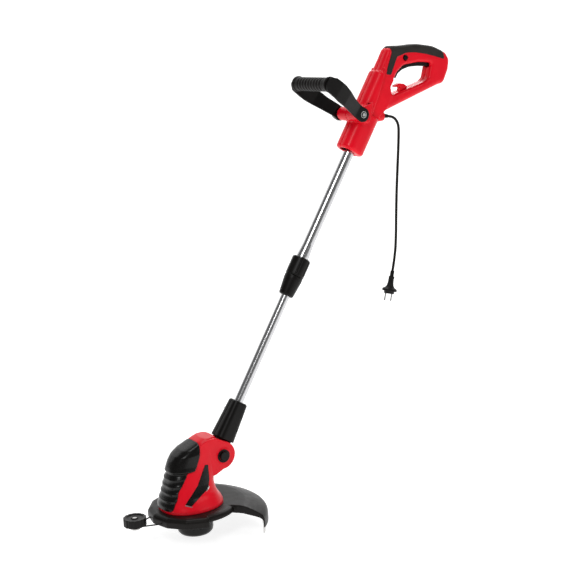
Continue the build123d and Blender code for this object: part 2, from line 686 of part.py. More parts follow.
def build_armature():
    """Rotor: laminated core with ten slots, windings, commutator, cooling fan and the shaft."""
    z0, z1 = MOTOR_Z0, MOTOR_Z1
    core = Pos(0, 0, z0 + 12) * extrude(Circle(MOTOR_R - 8.6), amount=z1 - z0 - 38)
    for i in range(10):
        core -= Rot(0, 0, i * 36) * Pos(MOTOR_R - 10, 0, (z0 + z1) / 2) * Box(7, 2.4, z1 - z0)
    core -= tube_core(SHAFT_R, z0, z1)
    windings = tube(16, SHAFT_R, z0 + 7, z0 + 12) + tube(16, SHAFT_R, z1 - 26, z1 - 22)
    commutator = tube(10.4, SHAFT_R, z1 - 21, z1 - 10)
    shaft = tube_core(SHAFT_R, 16, z1 + 5)
    fan = tube(9, SHAFT_R, FAN_Z, FAN_Z + 14) + tube(28, SHAFT_R, FAN_Z, FAN_Z + 2)
    for i in range(9):
        fan += Rot(0, 0, i * 40) * Pos(18, 0, FAN_Z + 8) * Box(19, 1.6, 12.5)
    return core + windings, commutator, shaft, fan


HEAD_SCREWS = [(-20, 77, 59), (30, 80, 55.5), (28, 200, 31), (36, 144, 38)]


def build_head_screws():
    """Screws on the far side that hold the two head shells together."""
    return [screw(x, z, half + 2.4, half - 22, 3.4, 1.5) for x, z, half in HEAD_SCREWS]


# ---------------------------------------------------------------- guard and line cutter
def build_guard():
    """The guard: a low skirt round the front and a wide arched shield behind, open underneath."""
    half = GUARD_HALF_ANGLE
    low, high = BASE_Z - WALL, BASE_Z
    deck = tube(70, 27, low, high)
    front = [
        (60, low), (60, high), (84, high), (SKIRT_R - 6, high + 1), (SKIRT_R, high - 3), (SKIRT_R, SKIRT_Z),
        (SKIRT_R - 3, SKIRT_Z), (SKIRT_R - 3, high - 5), (SKIRT_R - 7, high - 2),
    ]
    flank = [(60, low), (60, high), (88, high), (94, high - 4), (94, 56), (91, 56), (91, high - 5.2), (87, low)]
    top = [
        (60, low), (60, high), (84, high), (92, 70), (115, 69.5), (135, 64), (155, 55), (GUARD_R - 2.5, 49.5), (GUARD_R, 46),
        (GUARD_R, GUARD_RIM_Z), (GUARD_R - 3, GUARD_RIM_Z), (GUARD_R - 3, 45), (153, 52.5), (134, 61),
        (114.5, 66.5), (92, 67),
    ]
    body = deck + sector(front, SKIRT_ANGLE, 360 - 2 * SKIRT_ANGLE) + sector(top, -half, 2 * half)
    lip = [
        (74, 68), (92, 69), (115, 68.5), (135, 63), (155, 54), (GUARD_R - 1.5, 46), (GUARD_R - 1.5, 32), (155, 37),
        (135, 46), (115, 51), (92, 52), (74, 51),
    ]
    web = [(88, 57), (88, 66), (SKIRT_R - 6, 68), (SKIRT_R - 2, 64), (SKIRT_R - 2, SKIRT_Z + 1), (90, SKIRT_Z + 1)]
    for way in (-1, 1):
        body += sector(flank, half if way > 0 else -SKIRT_ANGLE, SKIRT_ANGLE - half)
        for face, angle in ((lip, half - 0.5), (web, SKIRT_ANGLE + 0.8)):
            plate = extrude(Plane.XZ * make_face(Polyline(*face, close=True)), amount=1.5, both=True)
            body += Rot(0, 0, way * angle) * plate
    for x, y in guard_screw_spots():
        body -= rod((x, y, BASE_Z - 17), (x, y, BASE_Z + 13), 1.6)
    return body


def guard_screw_spots():
    return [(-40, 0), (30, -42), (30, 42)]


def build_guard_screws():
    screws = []
    for x, y in guard_screw_spots():
        head = rod((x, y, BASE_Z - 5.6), (x, y, BASE_Z - WALL), 4)
        screws.append(head + rod((x, y, BASE_Z - WALL), (x, y, BASE_Z + 8), 1.5))
    return screws


def build_cutter():
    """The steel blade inside the near end of the rim that trims the line, and its two screws."""
    at = Rot(0, 0, -GUARD_HALF_ANGLE + 5.5)
    inside = GUARD_R - 4.0
    blade = Pos(inside - 0.8, 0, 22) * Box(1.6, 16, 34)
    blade -= Pos(inside - 0.8, 8, 5) * Rot(45, 0, 0) * Box(4, 10, 10)
    screws = []
    for y in (-4, 4):
        blade -= Pos(inside, y, 31) * Rot(0, 90, 0) * Cylinder(1.6, 8)
        head = Pos(inside - 2.3, y, 31) * Rot(0, 90, 0) * Cylinder(2.8, 1.4)
        shank = Pos(inside - 0.6, y, 31) * Rot(0, 90, 0) * Cylinder(1.6, 2.6)
        screws.append(at * (head + shank))
    return at * blade, screws


# ---------------------------------------------------------------- spool
def build_spool():
    """Drive hub, outer cap with rounded foot, bobbin, wound line and the bump button with its spring."""
    hub = tube(SPOOL_R - 2, SHAFT_R, SPOOL_TOP - 3, SPOOL_TOP) + tube(9, SHAFT_R, 24, SPOOL_TOP + 8)
    outer = [
        (15, 0), (28, 0), (36, 3), (SPOOL_R - 1, 8), (SPOOL_R, 14), (SPOOL_R, SPOOL_TOP - 3.2), (SPOOL_R - 2.6, SPOOL_TOP - 3.2),
        (SPOOL_R - 2.6, 14.5), (SPOOL_R - 4, 9.5), (34, 5.4), (27.5, 2.6), (15, 2.6),
    ]
    cap = turned(outer)
    low, high = BOBBIN_Z0, BOBBIN_Z1
    middle = (low + high) / 2
    for way in (-1, 1):
        cap -= rod((way * 30, 0, middle), (way * 50, 0, middle), 2.6)
    for i in range(16):
        cap -= Rot(0, 0, i * 22.5 + 11.25) * Pos(SPOOL_R + 1.2, 0, middle + 3) * Cylinder(2.0, 28)
    bobbin = tube(34, 12, low, low + 1.6) + tube(34, 12, high - 1.6, high) + tube(17, 12, low, high)
    line = turned([
        (17.2, low + 1.8), (30, low + 1.8), (31.5, low + 8), (31, high - 8), (30, high - 1.8), (17.2, high - 1.8),
    ])
    for way in (-1, 1):
        line += rod((way * 29, 0, middle), (way * 48, 0, middle), 1.0)
    button = turned([(0, -3.5), (8, -3.5), (13, -2), (14.6, 0.6), (14.6, 3), (11, 3.4), (11, 9), (9, 9), (9, 3.6), (0, 3.6)])
    spring = Pos(0, 0, 4.4) * coil_spring(6.5, 0.6, 18.6, 6)
    return hub, cap, bobbin, line, button, spring


# ---------------------------------------------------------------- guide wheel
def build_wheel():
    """Wire bracket from the skirt's front, the scalloped guide wheel on it, and the wheel's screw."""
    x, y = WHEEL_AT
    z_low = WHEEL_Z0 - 3.4
    near = [(-86, -31, z_low), (x + 14, y - 12, z_low), (x - 2, y - 8.5, z_low), (x - 9, y - 4, z_low)]
    far = [(a, -b, c) for a, b, c in reversed(near)]
    path = FilletPolyline(*near, *far, radius=[6, 2.5, 2.5, 2.5, 2.5, 6])
    bracket = sweep(Plane(origin=path @ 0, z_dir=path % 0) * Circle(WIRE_R), path=path)
    wheel = extrude(Pos(x, y, WHEEL_Z0) * Circle(WHEEL_R), amount=WHEEL_H)
    for i in range(14):
        angle = radians(i * 360 / 14)
        spot = (x + (WHEEL_R + 1.6) * cos(angle), y + (WHEEL_R + 1.6) * sin(angle))
        wheel -= rod((*spot, WHEEL_Z0 - 1), (*spot, WHEEL_Z0 + WHEEL_H + 1), 2.9)
    wheel -= rod((x, y, WHEEL_Z0 + WHEEL_H - 3), (x, y, WHEEL_Z0 + WHEEL_H + 1), 5.6)
    wheel -= Pos(x, y, WHEEL_Z0 + WHEEL_H) * (tube(19.5, 8, -2, 1))
    wheel -= rod((x, y, WHEEL_Z0 - 1), (x, y, WHEEL_Z0 + WHEEL_H + 1), 3 + RUN)
    bolt = rod((x, y, WHEEL_Z0 - 7), (x, y, WHEEL_Z0 + WHEEL_H - 3), 3.0)
    bolt += rod((x, y, WHEEL_Z0 - 9.4), (x, y, WHEEL_Z0 - 7), 10)
    bolt += rod((x, y, WHEEL_Z0 + WHEEL_H - 3 + FIT), (x, y, WHEEL_Z0 + WHEEL_H - 1), 5)
    bolt += rod((x, y, WHEEL_Z0 + WHEEL_H - 3.1), (x, y, WHEEL_Z0 + WHEEL_H - 2), 3.0)
    return bracket, wheel, bolt


# ---------------------------------------------------------------- tilt button
def build_tilt_button():
    """The stepped round button on the tilt axis, and the spring behind it."""
    x, z = PIVOT.X, PIVOT.Z
    face = -LOBE_HALF
    ring = cross(x, z, face - 3, face, 15) - cross(x, z, face - 20, 0, 11 + FIT)
    button = cross(x, z, face - 9, face - 4.2, 11) + cross(x, z, face - 4.2, 12, 8)
    button = fillet(button.edges().sort_by(Axis.Y)[0], 1.5)
    spring = Pos(x, 13, z) * Rot(-90, 0, 0) * coil_spring(5, 0.6, 10, 4)
    return ring, button, spring


# ---------------------------------------------------------------- everything
def main():
    near, far, skin = build_handle()
    put = lambda shape: housing * shape
    save("handle_shell_left", put(near))
    save("handle_shell_right", put(far))
    save("soft_grip", put(skin))
    save("cord_hook", put(cord_hook()))
    save("trigger", put(build_trigger()))
    bail, bail_sleeve = build_bail()
    save("front_bail", put(bail))
    save("front_grip", put(bail_sleeve))
    bolt, washer, knob = build_clamp()
    save("clamp_bolt", put(bolt))
    save("bolt_washer", put(washer))
    save("clamp_knob", put(knob))
    save("power_cord", put(build_cord()))
    save("cord_sleeve", put(build_sleeve()))
    plug, pins = build_plug()
    save("plug_body", put(plug))
    save("plug_pins", [put(p) for p in pins])
    save("power_switch", put(build_switch()))
    trigger_spring, lock_spring = build_springs()
    save("trigger_spring", put(trigger_spring))
    save("lock_spring", put(lock_spring))
    save("lock_button", put(build_lock_button()))
    save("upper_tube", build_upper_tube())
    save("collar_sleeve", build_sleeve_collar())
    save("collet", build_collet())
    save("collar_nut", build_nut())
    save("tube_bush", build_bush())
    save("lower_tube", build_lower_tube())
    save("tube_lead", build_tube_lead())
    socket_near, socket_far = build_socket()
    save("socket_left", socket_near)
    save("socket_right", socket_far)
    save("socket_screws", build_socket_screws())
    head_near, head_far, cover = build_head()
    save("head_shell_left", head_near)
    save("head_shell_right", head_far)
    save("motor_cover", cover)
    save("side_badges", build_badges())
    save("head_screws", build_head_screws())
    can, cap, magnets, brushes, bearings = build_motor()
    save("motor_can", can)
    save("motor_end_cap", cap)
    save("magnets", magnets)
    save("brushes", brushes)
    save("bearings", bearings)
    core, commutator, shaft, fan = build_armature()
    save("armature_core", core)
    save("commutator", commutator)
    save("motor_shaft", shaft)
    save("cooling_fan", fan)
    bracket, wheel, wheel_bolt = build_wheel()
    save("guard", build_guard() - bracket)
    save("guard_screws", build_guard_screws())
    blade, blade_screws = build_cutter()
    save("line_cutter", blade)
    save("cutter_screws", blade_screws)
    hub, spool_cap, bobbin, line, button, spring = build_spool()
    save("spool_hub", hub)
    save("spool_cap", spool_cap)
    save("bobbin", bobbin)
    save("cutting_line", line)
    save("bump_button", button)
    save("bump_spring", spring)
    save("wheel_wire", bracket)
    save("guide_wheel", wheel)
    save("wheel_bolt", wheel_bolt)
    ring, tilt_button, tilt_spring = build_tilt_button()
    save("button_ring", ring)
    save("tilt_button", tilt_button)
    save("tilt_spring", tilt_spring)


main()
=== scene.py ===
"""Corded string trimmer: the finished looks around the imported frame.

Metres, in the frame's own axes: +X to the rear handle, +Y to the user's right, +Z up.
Two local systems are used for the shapes, in millimetres, and `head` and `grip` turn them into
the frame: the motor head's (zero at the middle of the spool's underside) and the rear housing's
(zero at the housing's lower end on the shaft's centre line).
"""
import math

import bmesh
import bpy
from mathutils import Matrix, Vector


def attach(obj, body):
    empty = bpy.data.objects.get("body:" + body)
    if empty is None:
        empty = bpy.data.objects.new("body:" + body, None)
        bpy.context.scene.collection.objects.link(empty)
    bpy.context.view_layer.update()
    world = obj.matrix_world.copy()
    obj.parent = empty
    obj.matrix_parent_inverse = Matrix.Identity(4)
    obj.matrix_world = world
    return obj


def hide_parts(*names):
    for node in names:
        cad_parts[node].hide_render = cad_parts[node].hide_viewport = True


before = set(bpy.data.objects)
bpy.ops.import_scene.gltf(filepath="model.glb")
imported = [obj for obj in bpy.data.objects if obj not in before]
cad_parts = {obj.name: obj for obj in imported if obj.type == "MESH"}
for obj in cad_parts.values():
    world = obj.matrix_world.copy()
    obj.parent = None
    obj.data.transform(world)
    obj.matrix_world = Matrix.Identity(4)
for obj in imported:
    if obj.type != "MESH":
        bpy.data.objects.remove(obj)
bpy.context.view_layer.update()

MM = 0.001
HEAD_ZERO = Vector((-0.67964, 0.0, -1.03024))
GRIP_ZERO = Vector((-0.207, 0.0, -0.212))
PIVOT = (66.0, 175.0)  # tilt axis in the head's x, z
FLOOR_Z = -1.0341


def head(x, y, z):
    return HEAD_ZERO + Vector((x, y, z)) * MM


def grip(x, y, z):
    return GRIP_ZERO + Vector((x, y, z)) * MM


# ------------------------------------------------------------------ camera
CAMERA_AT = (-1.9233, -2.3755, 0.1001)
CAMERA_RIGHT = (0.83544, -0.54720, -0.05119)
CAMERA_UP = (0.15595, 0.14672, 0.97681)
CAMERA_BACK = (-0.52700, -0.82404, 0.20791)
LENS = 78.95


def add_camera():
    data = bpy.data.cameras.new("camera")
    data.lens = LENS
    data.sensor_width = 36.0
    data.clip_end = 60.0
    camera = bpy.data.objects.new("camera", data)
    bpy.context.scene.collection.objects.link(camera)
    turn = Matrix((CAMERA_RIGHT, CAMERA_UP, CAMERA_BACK)).transposed().to_4x4()
    camera.matrix_world = Matrix.Translation(CAMERA_AT) @ turn
    bpy.context.scene.camera = camera


# ------------------------------------------------------------------ materials
def new_material(name):
    made = bpy.data.materials.new(name)
    made.use_nodes = True
    nodes = made.node_tree.nodes
    return made, nodes, made.node_tree.links, nodes["Principled BSDF"]


def noise(nodes, links, vector, scale, detail=3.0, rough=0.55):
    texture = nodes.new("ShaderNodeTexNoise")
    texture.inputs["Scale"].default_value = scale
    texture.inputs["Detail"].default_value = detail
    texture.inputs["Roughness"].default_value = rough
    links.new(vector, texture.inputs["Vector"])
    return texture.outputs["Fac"]


def ramp(nodes, links, factor, low, high):
    """Maps a noise value onto a colour range or, given numbers, a value range."""
    if isinstance(low, (int, float)):
        node = nodes.new("ShaderNodeMapRange")
        node.inputs["From Min"].default_value = 0.3
        node.inputs["From Max"].default_value = 0.7
        node.inputs["To Min"].default_value = low
        node.inputs["To Max"].default_value = high
        links.new(factor, node.inputs["Value"])
        return node.outputs["Result"]
    node = nodes.new("ShaderNodeValToRGB")
    node.color_ramp.elements[0].position = 0.35
    node.color_ramp.elements[0].color = (*low, 1)
    node.color_ramp.elements[1].position = 0.65
    node.color_ramp.elements[1].color = (*high, 1)
    links.new(factor, node.inputs["Fac"])
    return node.outputs["Color"]


def bump(nodes, links, height, strength, distance):
    node = nodes.new("ShaderNodeBump")
    node.inputs["Strength"].default_value = strength
    node.inputs["Distance"].default_value = distance
    links.new(height, node.inputs["Height"])
    return node.outputs["Normal"]


def plastic(name, colour, gloss, grain, depth=0.00012, coat=0.0, variation=0.08, specular=0.28):
    """Moulded plastic: faint blotches in the colour, uneven gloss and a fine sandblasted grain."""
    made, nodes, links, shader = new_material(name)
    vector = nodes.new("ShaderNodeTexCoord").outputs["Object"]
    dark = tuple(c * (1 - variation) for c in colour)
    light = tuple(min(1.0, c * (1 + variation)) for c in colour)
    links.new(ramp(nodes, links, noise(nodes, links, vector, 14), dark, light), shader.inputs["Base Color"])
    scuffs = noise(nodes, links, vector, 55, 6, 0.7)
    links.new(ramp(nodes, links, scuffs, gloss - 0.05, gloss + 0.07), shader.inputs["Roughness"])
    fine = noise(nodes, links, vector, grain, 2, 0.5)
    links.new(bump(nodes, links, fine, 0.35, depth), shader.inputs["Normal"])
    shader.inputs["Coat Weight"].default_value = coat
    shader.inputs["Coat Roughness"].default_value = 0.12
    shader.inputs["Specular IOR Level"].default_value = specular
    return made


def drawn_metal(name, colour, gloss, lean, stretch):
    """Metal with fine lines along the tube: noise stretched along the shaft's direction."""
    made, nodes, links, shader = new_material(name)
    mapping = nodes.new("ShaderNodeMapping")
    mapping.inputs["Rotation"].default_value = (0, -lean, 0)
    mapping.inputs["Scale"].default_value = (1, 1, stretch)
    links.new(nodes.new("ShaderNodeTexCoord").outputs["Object"], mapping.inputs["Vector"])
    lines = noise(nodes, links, mapping.outputs["Vector"], 900, 4, 0.6)
    dark = tuple(c * 0.9 for c in colour)
    links.new(ramp(nodes, links, lines, dark, colour), shader.inputs["Base Color"])
    links.new(ramp(nodes, links, lines, gloss - 0.05, gloss + 0.08), shader.inputs["Roughness"])
    links.new(bump(nodes, links, lines, 0.15, 0.00005), shader.inputs["Normal"])
    shader.inputs["Metallic"].default_value = 1.0
    return made


def cast_metal(name, colour, gloss, grain, metallic=1.0):
    """Plated or pressed metal with slight clouding and fine pits."""
    made, nodes, links, shader = new_material(name)
    vector = nodes.new("ShaderNodeTexCoord").outputs["Object"]
    clouds = noise(nodes, links, vector, 90, 5, 0.65)
    dark = tuple(c * 0.85 for c in colour)
    links.new(ramp(nodes, links, clouds, dark, colour), shader.inputs["Base Color"])
    links.new(ramp(nodes, links, clouds, gloss - 0.05, gloss + 0.1), shader.inputs["Roughness"])
    links.new(bump(nodes, links, noise(nodes, links, vector, grain), 0.2, 0.00006), shader.inputs["Normal"])
    shader.inputs["Metallic"].default_value = metallic
    return made


def rubber(name, colour, gloss, grain, depth):
    """Soft rubber: dry, slightly grey in random patches, with a pebbled skin."""
    made, nodes, links, shader = new_material(name)
    vector = nodes.new("ShaderNodeTexCoord").outputs["Object"]
    cells = nodes.new("ShaderNodeTexVoronoi")
    cells.inputs["Scale"].default_value = grain
    links.new(vector, cells.inputs["Vector"])
    links.new(bump(nodes, links, cells.outputs["Distance"], 0.4, depth), shader.inputs["Normal"])
    dust = noise(nodes, links, vector, 30, 6, 0.7)
    light = tuple(c * 1.35 + 0.004 for c in colour)
    links.new(ramp(nodes, links, dust, colour, light), shader.inputs["Base Color"])
    links.new(ramp(nodes, links, dust, gloss - 0.05, gloss + 0.06), shader.inputs["Roughness"])
    shader.inputs["Specular IOR Level"].default_value = 0.16
    return made


SHAFT_LEAN = math.radians(32.3)
RED = plastic(
    "red_moulding", (0.83, 0.0022, 0.016), 0.32, 1500, 0.00006, coat=0.06, variation=0.05, specular=0.2,
)
GLOSS_BLACK = plastic(
    "gloss_black", (0.004, 0.0036, 0.0033), 0.26, 1200, 0.00005, coat=0.12, variation=0.2, specular=0.2,
)
SATIN_BLACK = plastic(
    "satin_black", (0.0045, 0.0038, 0.0034), 0.36, 1300, 0.0001, variation=0.2, specular=0.18,
)
GUARD_BLACK = plastic("guard_black", (0.006, 0.0048, 0.004), 0.4, 1100, 0.00012, variation=0.2, specular=0.18)
GREY_PLASTIC = plastic("knob_grey", (0.16, 0.155, 0.15), 0.45, 1200)
WHITE_NYLON = plastic("natural_nylon", (0.72, 0.71, 0.66), 0.5, 1000)
LINE_RED = plastic("line_red", (0.7, 0.06, 0.02), 0.3, 800)
SOFT_GREY = rubber("soft_grip_rubber", (0.022, 0.019, 0.017), 0.6, 750, 0.00015)
GRIP_RUBBER = rubber("front_grip_rubber", (0.006, 0.005, 0.0045), 0.42, 900, 0.0001)
CORD_BLACK = rubber("cord_sheath", (0.005, 0.0045, 0.0042), 0.4, 1400, 0.00006)
ALUMINIUM = drawn_metal("drawn_aluminium", (0.62, 0.62, 0.63), 0.2, SHAFT_LEAN, 0.02)
STEEL = cast_metal("zinc_steel", (0.56, 0.55, 0.54), 0.32, 700)
BRIGHT = cast_metal("bright_plating", (0.85, 0.85, 0.84), 0.16, 500)
COPPER = cast_metal("copper_and_bronze", (0.72, 0.38, 0.2), 0.35, 600)
DARK_IRON = cast_metal("dark_iron", (0.11, 0.11, 0.11), 0.5, 400, 0.8)

CAD_LOOKS = {
    ALUMINIUM: ["upper_tube", "lower_tube"],
    SATIN_BLACK: [
        "tilt_button", "button_ring", "power_switch", "lock_button", "wheel_wire", "motor_end_cap",
        "spool_hub", "bump_button",
    ],
    WHITE_NYLON: ["collet", "tube_bush", "cooling_fan"],
    LINE_RED: ["cutting_line", "bobbin"],
    CORD_BLACK: ["tube_lead"],
    STEEL: [
        "trigger_spring", "lock_spring", "tilt_spring", "bump_spring", "socket_screws", "head_screws",
        "guard_screws",
        "line_cutter", "cutter_screws", "wheel_bolt", "motor_can", "motor_shaft",
    ],
    BRIGHT: ["clamp_bolt", "bolt_washer", "plug_pins"],
    COPPER: ["commutator", "bearings"],
    DARK_IRON: ["magnets", "brushes", "armature_core"],
}


def dress_cad_nodes():
    for made, names in CAD_LOOKS.items():
        for name in names:
            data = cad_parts[name].data
            data.materials.clear()
            data.materials.append(made)


# ------------------------------------------------------------------ mesh helpers
def add_object(name, data, material=None):
    made = bpy.data.objects.new(name, data)
    bpy.context.scene.collection.objects.link(made)
    if material:
        data.materials.clear()
        data.materials.append(material)
    return made


def from_lists(name, points, faces, material=None):
    data = bpy.data.meshes.new(name)
    data.from_pydata([tuple(p) for p in points], [], faces)
    build = bmesh.new()
    build.from_mesh(data)
    bmesh.ops.remove_doubles(build, verts=build.verts, dist=1e-6)
    bmesh.ops.recalc_face_normals(build, faces=build.faces)
    build.to_mesh(data)
    build.free()
    return add_object(name, data, material)


def evaluated(piece, material=None):
    """Applies a piece's modifiers, leaving one plain mesh."""
    bpy.context.view_layer.update()
    graph = bpy.context.evaluated_depsgraph_get()
    data = bpy.data.meshes.new_from_object(piece.evaluated_get(graph))
    name = piece.name
    bpy.data.objects.remove(piece)
    made = add_object(name, data, material)
    made.name = name
    return made


def prism(name, outline, half, place, centre=0.0):
    """A closed slab from a side-view outline, half thick each way along Y."""
    count = len(outline)
    points = [place(x, y, z) for y in (centre - half, centre + half) for x, z in outline]
    faces = [list(range(count)), list(range(2 * count - 1, count - 1, -1))]
    for i in range(count):
        j = (i + 1) % count
        faces.append([i, count + i, count + j, j])
    return from_lists(name, points, faces)


def drum(name, x, z, y0, y1, radius, place, sides=96):
    """A closed round bar along Y."""
    ring = [(x + radius * math.cos(a), z + radius * math.sin(a))
            for a in (2 * math.pi * i / sides for i in range(sides))]
    return prism(name, ring, (y1 - y0) / 2, place, (y0 + y1) / 2)


def combine(piece, other, operation):
    """Boolean of two closed meshes; the second one is used up."""
    step = piece.modifiers.new("combine", "BOOLEAN")
    step.operation = operation
    step.solver = "EXACT"
    step.object = other
    result = evaluated(piece)
    bpy.data.objects.remove(other)
    return result


def soften(piece, voxel, rounds, material):
    """Gives a piece the small radii of a moulding: an even skin of quads, eased a little."""
    skin = piece.modifiers.new("skin", "REMESH")
    skin.mode = "VOXEL"
    skin.voxel_size = voxel * 0.001
    skin.adaptivity = 0.0
    if rounds:
        ease = piece.modifiers.new("ease", "SMOOTH")
        ease.factor = 0.5
        ease.iterations = rounds
    piece = evaluated(piece, material)
    for face in piece.data.polygons:
        face.use_smooth = True
    return piece


def cad_copy(node, name):
    """A merged copy of a CAD node's mesh."""
    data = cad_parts[node].data.copy()
    build = bmesh.new()
    build.from_mesh(data)
    bmesh.ops.remove_doubles(build, verts=build.verts, dist=2e-6)
    build.to_mesh(data)
    build.free()
    return add_object(name, data)


def stands_for(piece, body, slot, *nodes):
    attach(piece, body)
    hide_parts(*nodes)


def turned(name, profile, base, along, material, sides=64):
    """A lathe-turned closed piece; profile is (radius, height) in millimetres along a direction."""
    along = Vector(along).normalized()
    side = along.orthogonal().normalized()
    other = along.cross(side)
    points, faces = [], []
    for r, h in profile:
        for i in range(sides):
            a = 2 * math.pi * i / sides
            out = (side * math.cos(a) + other * math.sin(a)) * r
            points.append(base + (along * h + out) * MM)
    for row in range(len(profile) - 1):
        for i in range(sides):
            j = (i + 1) % sides
            faces.append([row * sides + i, row * sides + j, (row + 1) * sides + j, (row + 1) * sides + i])
    faces.append(list(range(sides)))
    faces.append([(len(profile) - 1) * sides + i for i in range(sides)])
    piece = from_lists(name, points, faces, material)
    for face in piece.data.polygons:
        face.use_smooth = len(face.vertices) == 4
    return piece


# ------------------------------------------------------------------ mains lead
CORD_D = 0.0064
SLEEVE_LENGTH = 30.0
PLUG_LEAN = math.radians(14.0)
PLUG_NECK = 41.0
PLUG_WAY = Vector((-math.sin(PLUG_LEAN), 0, -math.cos(PLUG_LEAN)))
PLUG_TOP = (126 + PLUG_NECK * PLUG_WAY.x, -262 + PLUG_NECK * PLUG_WAY.z)
CORD_ROUTE = [
    (118, 73.8), (129.4, 72), (139.2, 66.1), (146.1, 56.9), (149.2, 45.3), (148.4, 23.3), (145.5, -13),
    (141, -60), (136.5, -112), (133, -165), (130.5, -215), (126, -262), PLUG_TOP,
]


def route_point(number):
    x, z = CORD_ROUTE[number]
    return grip(x, 0, z)


def add_lead():
    """The mains lead on one smooth line, its strain relief and its plug."""
    curve = bpy.data.curves.new("mains_cord", "CURVE")
    curve.dimensions = "3D"
    line = curve.splines.new("NURBS")
    line.points.add(len(CORD_ROUTE) - 1)
    for point, (x, z) in zip(line.points, CORD_ROUTE):
        point.co = (*grip(x, 0, z), 1.0)
    line.order_u = 3
    line.use_endpoint_u = True
    line.resolution_u = 24
    curve.bevel_depth = CORD_D / 2
    curve.bevel_resolution = 8
    curve.use_fill_caps = True
    cord = add_object("mains_cord", curve)
    curve.materials.append(CORD_BLACK)
    stands_for(cord, "handle", "cord_black", "power_cord")
    plug = add_plug()
    add_strain_relief()


def add_plug():
    """Moulded contour plug: ribbed neck, slim body, round flange and a raised face."""
    profile = [(3.4, -0.2), (4.4, 0)]
    for i in range(5):
        z = 1.2 + i * 2.4
        profile += [(5.2, z), (5.2, z + 1.1), (4.3, z + 1.4), (4.3, z + 2.1)]
    profile += [
        (6.2, 13.4), (7.2, 14.6), (7.4, 15.6), (6.9, 17), (6.7, 20), (6.9, 26), (7.6, 32), (8.9, 37),
        (11.2, 40.4), (14.6, 42.8), (17.2, 44), (18.0, 44.8), (18.2, 46), (18.2, 48.6), (17.8, 49.6),
        (17.0, 50), (13.0, 50), (12.8, 50.4), (12.6, 55.4), (12.2, 56), (3.0, 56),
    ]
    plug = turned("mains_plug", profile, grip(PLUG_TOP[0], 0, PLUG_TOP[1]), PLUG_WAY, CORD_BLACK)
    stands_for(plug, "handle", "cord_black", "plug_body")
    return plug


def add_strain_relief():
    """The ribbed sleeve at the housing, on the cord's first stretch."""
    end = route_point(0)
    way = (route_point(1) - end).normalized()
    profile = [(1.0, 0), (6.8, 0), (6.8, 4), (5.0, 4.4), (5.0, 9)]
    for i in range(5):
        z = 9.6 + i * 3.8
        r = 5.5 - i * 0.28
        profile += [(r, z), (r, z + 2.0), (r - 0.9, z + 2.4), (r - 0.9, z + 3.4)]
    profile += [(4.0, 29.2), (3.7, 29.9), (1.0, 30)]
    sleeve = turned("strain_relief", profile, end - way * SLEEVE_LENGTH * MM, way, CORD_BLACK)
    stands_for(sleeve, "handle", "cord_black", "cord_sleeve")


# ------------------------------------------------------------------ mouldings that follow the CAD
# (node, body, slot, material, voxel in mm, easing rounds)
MOULDINGS = [
    ("handle_shell_left", "handle", "red_shell", RED, 1.5, 6),
    ("handle_shell_right", "handle", "red_shell", RED, 1.5, 6),
    ("cord_hook", "handle", "red_shell", RED, 0.7, 3),
    ("soft_grip", "handle", "soft_black", SOFT_GREY, 0.8, 2),
    ("trigger", "trigger", "black_shell", SATIN_BLACK, 0.8, 3),
    ("front_bail", "front_bail", "black_shell", SATIN_BLACK, 1.3, 5),
    ("front_grip", "front_bail", "soft_black", GRIP_RUBBER, 0.9, 3),
    ("clamp_knob", "clamp_knob", "grey_plastic", GREY_PLASTIC, 0.7, 2),
    ("collar_sleeve", "handle", "black_shell", SATIN_BLACK, 0.9, 2),
    ("collar_nut", "collar_nut", "black_shell", SATIN_BLACK, 0.9, 2),
    ("socket_left", "lower_shaft", "black_shell", SATIN_BLACK, 1.1, 3),
    ("socket_right", "lower_shaft", "black_shell", SATIN_BLACK, 1.1, 3),
    ("spool_cap", "rotor", "black_shell", GLOSS_BLACK, 0.9, 2),
    ("guide_wheel", "guide_wheel", "black_shell", SATIN_BLACK, 0.7, 2),
]


# where the housing's barrel ends against the flat sides of the handle
FLANK_SIDES = {"handle_shell_left": -1, "handle_shell_right": 1}
FLANK_LINE = [(50, 82), (73, 128), (93, 175), (98, 188)]
FLANK_FACE = FLANK_LINE + [(108, 180), (115, 154), (114, 138), (119, 121), (100, 92), (72, 70)]
FLANK_CUT = FLANK_LINE + [(98, 195), (170, 195), (170, 40), (110, 30), (72, 70)]


def recess_flank(shell, way):
    """Cuts the barrel back to the handle's flat side behind the flank line, and walls the cut."""
    front = [(x - 3, z + 1.5) for x, z in FLANK_LINE]
    shell = combine(shell, prism("strip", front + FLANK_LINE[::-1], 5.5, grip, way * 21.5), "UNION")
    foot = [(47, 80), (50, 83), (73, 71), (70, 67)]
    shell = combine(shell, prism("foot", foot, 3.5, grip, way * 19.5), "UNION")
    shell = combine(shell, prism("face", FLANK_FACE, 1.5, grip, way * 18.0), "UNION")
    return combine(shell, prism("cut", FLANK_CUT, 13, grip, way * 32.5), "DIFFERENCE")


def add_mouldings():
    for node, body, slot, material, voxel, rounds in MOULDINGS:
        piece = cad_copy(node, node + "_skin")
        if node in FLANK_SIDES:
            piece = recess_flank(piece, FLANK_SIDES[node])
        piece = soften(piece, voxel, rounds, material)
        stands_for(piece, body, slot, node)


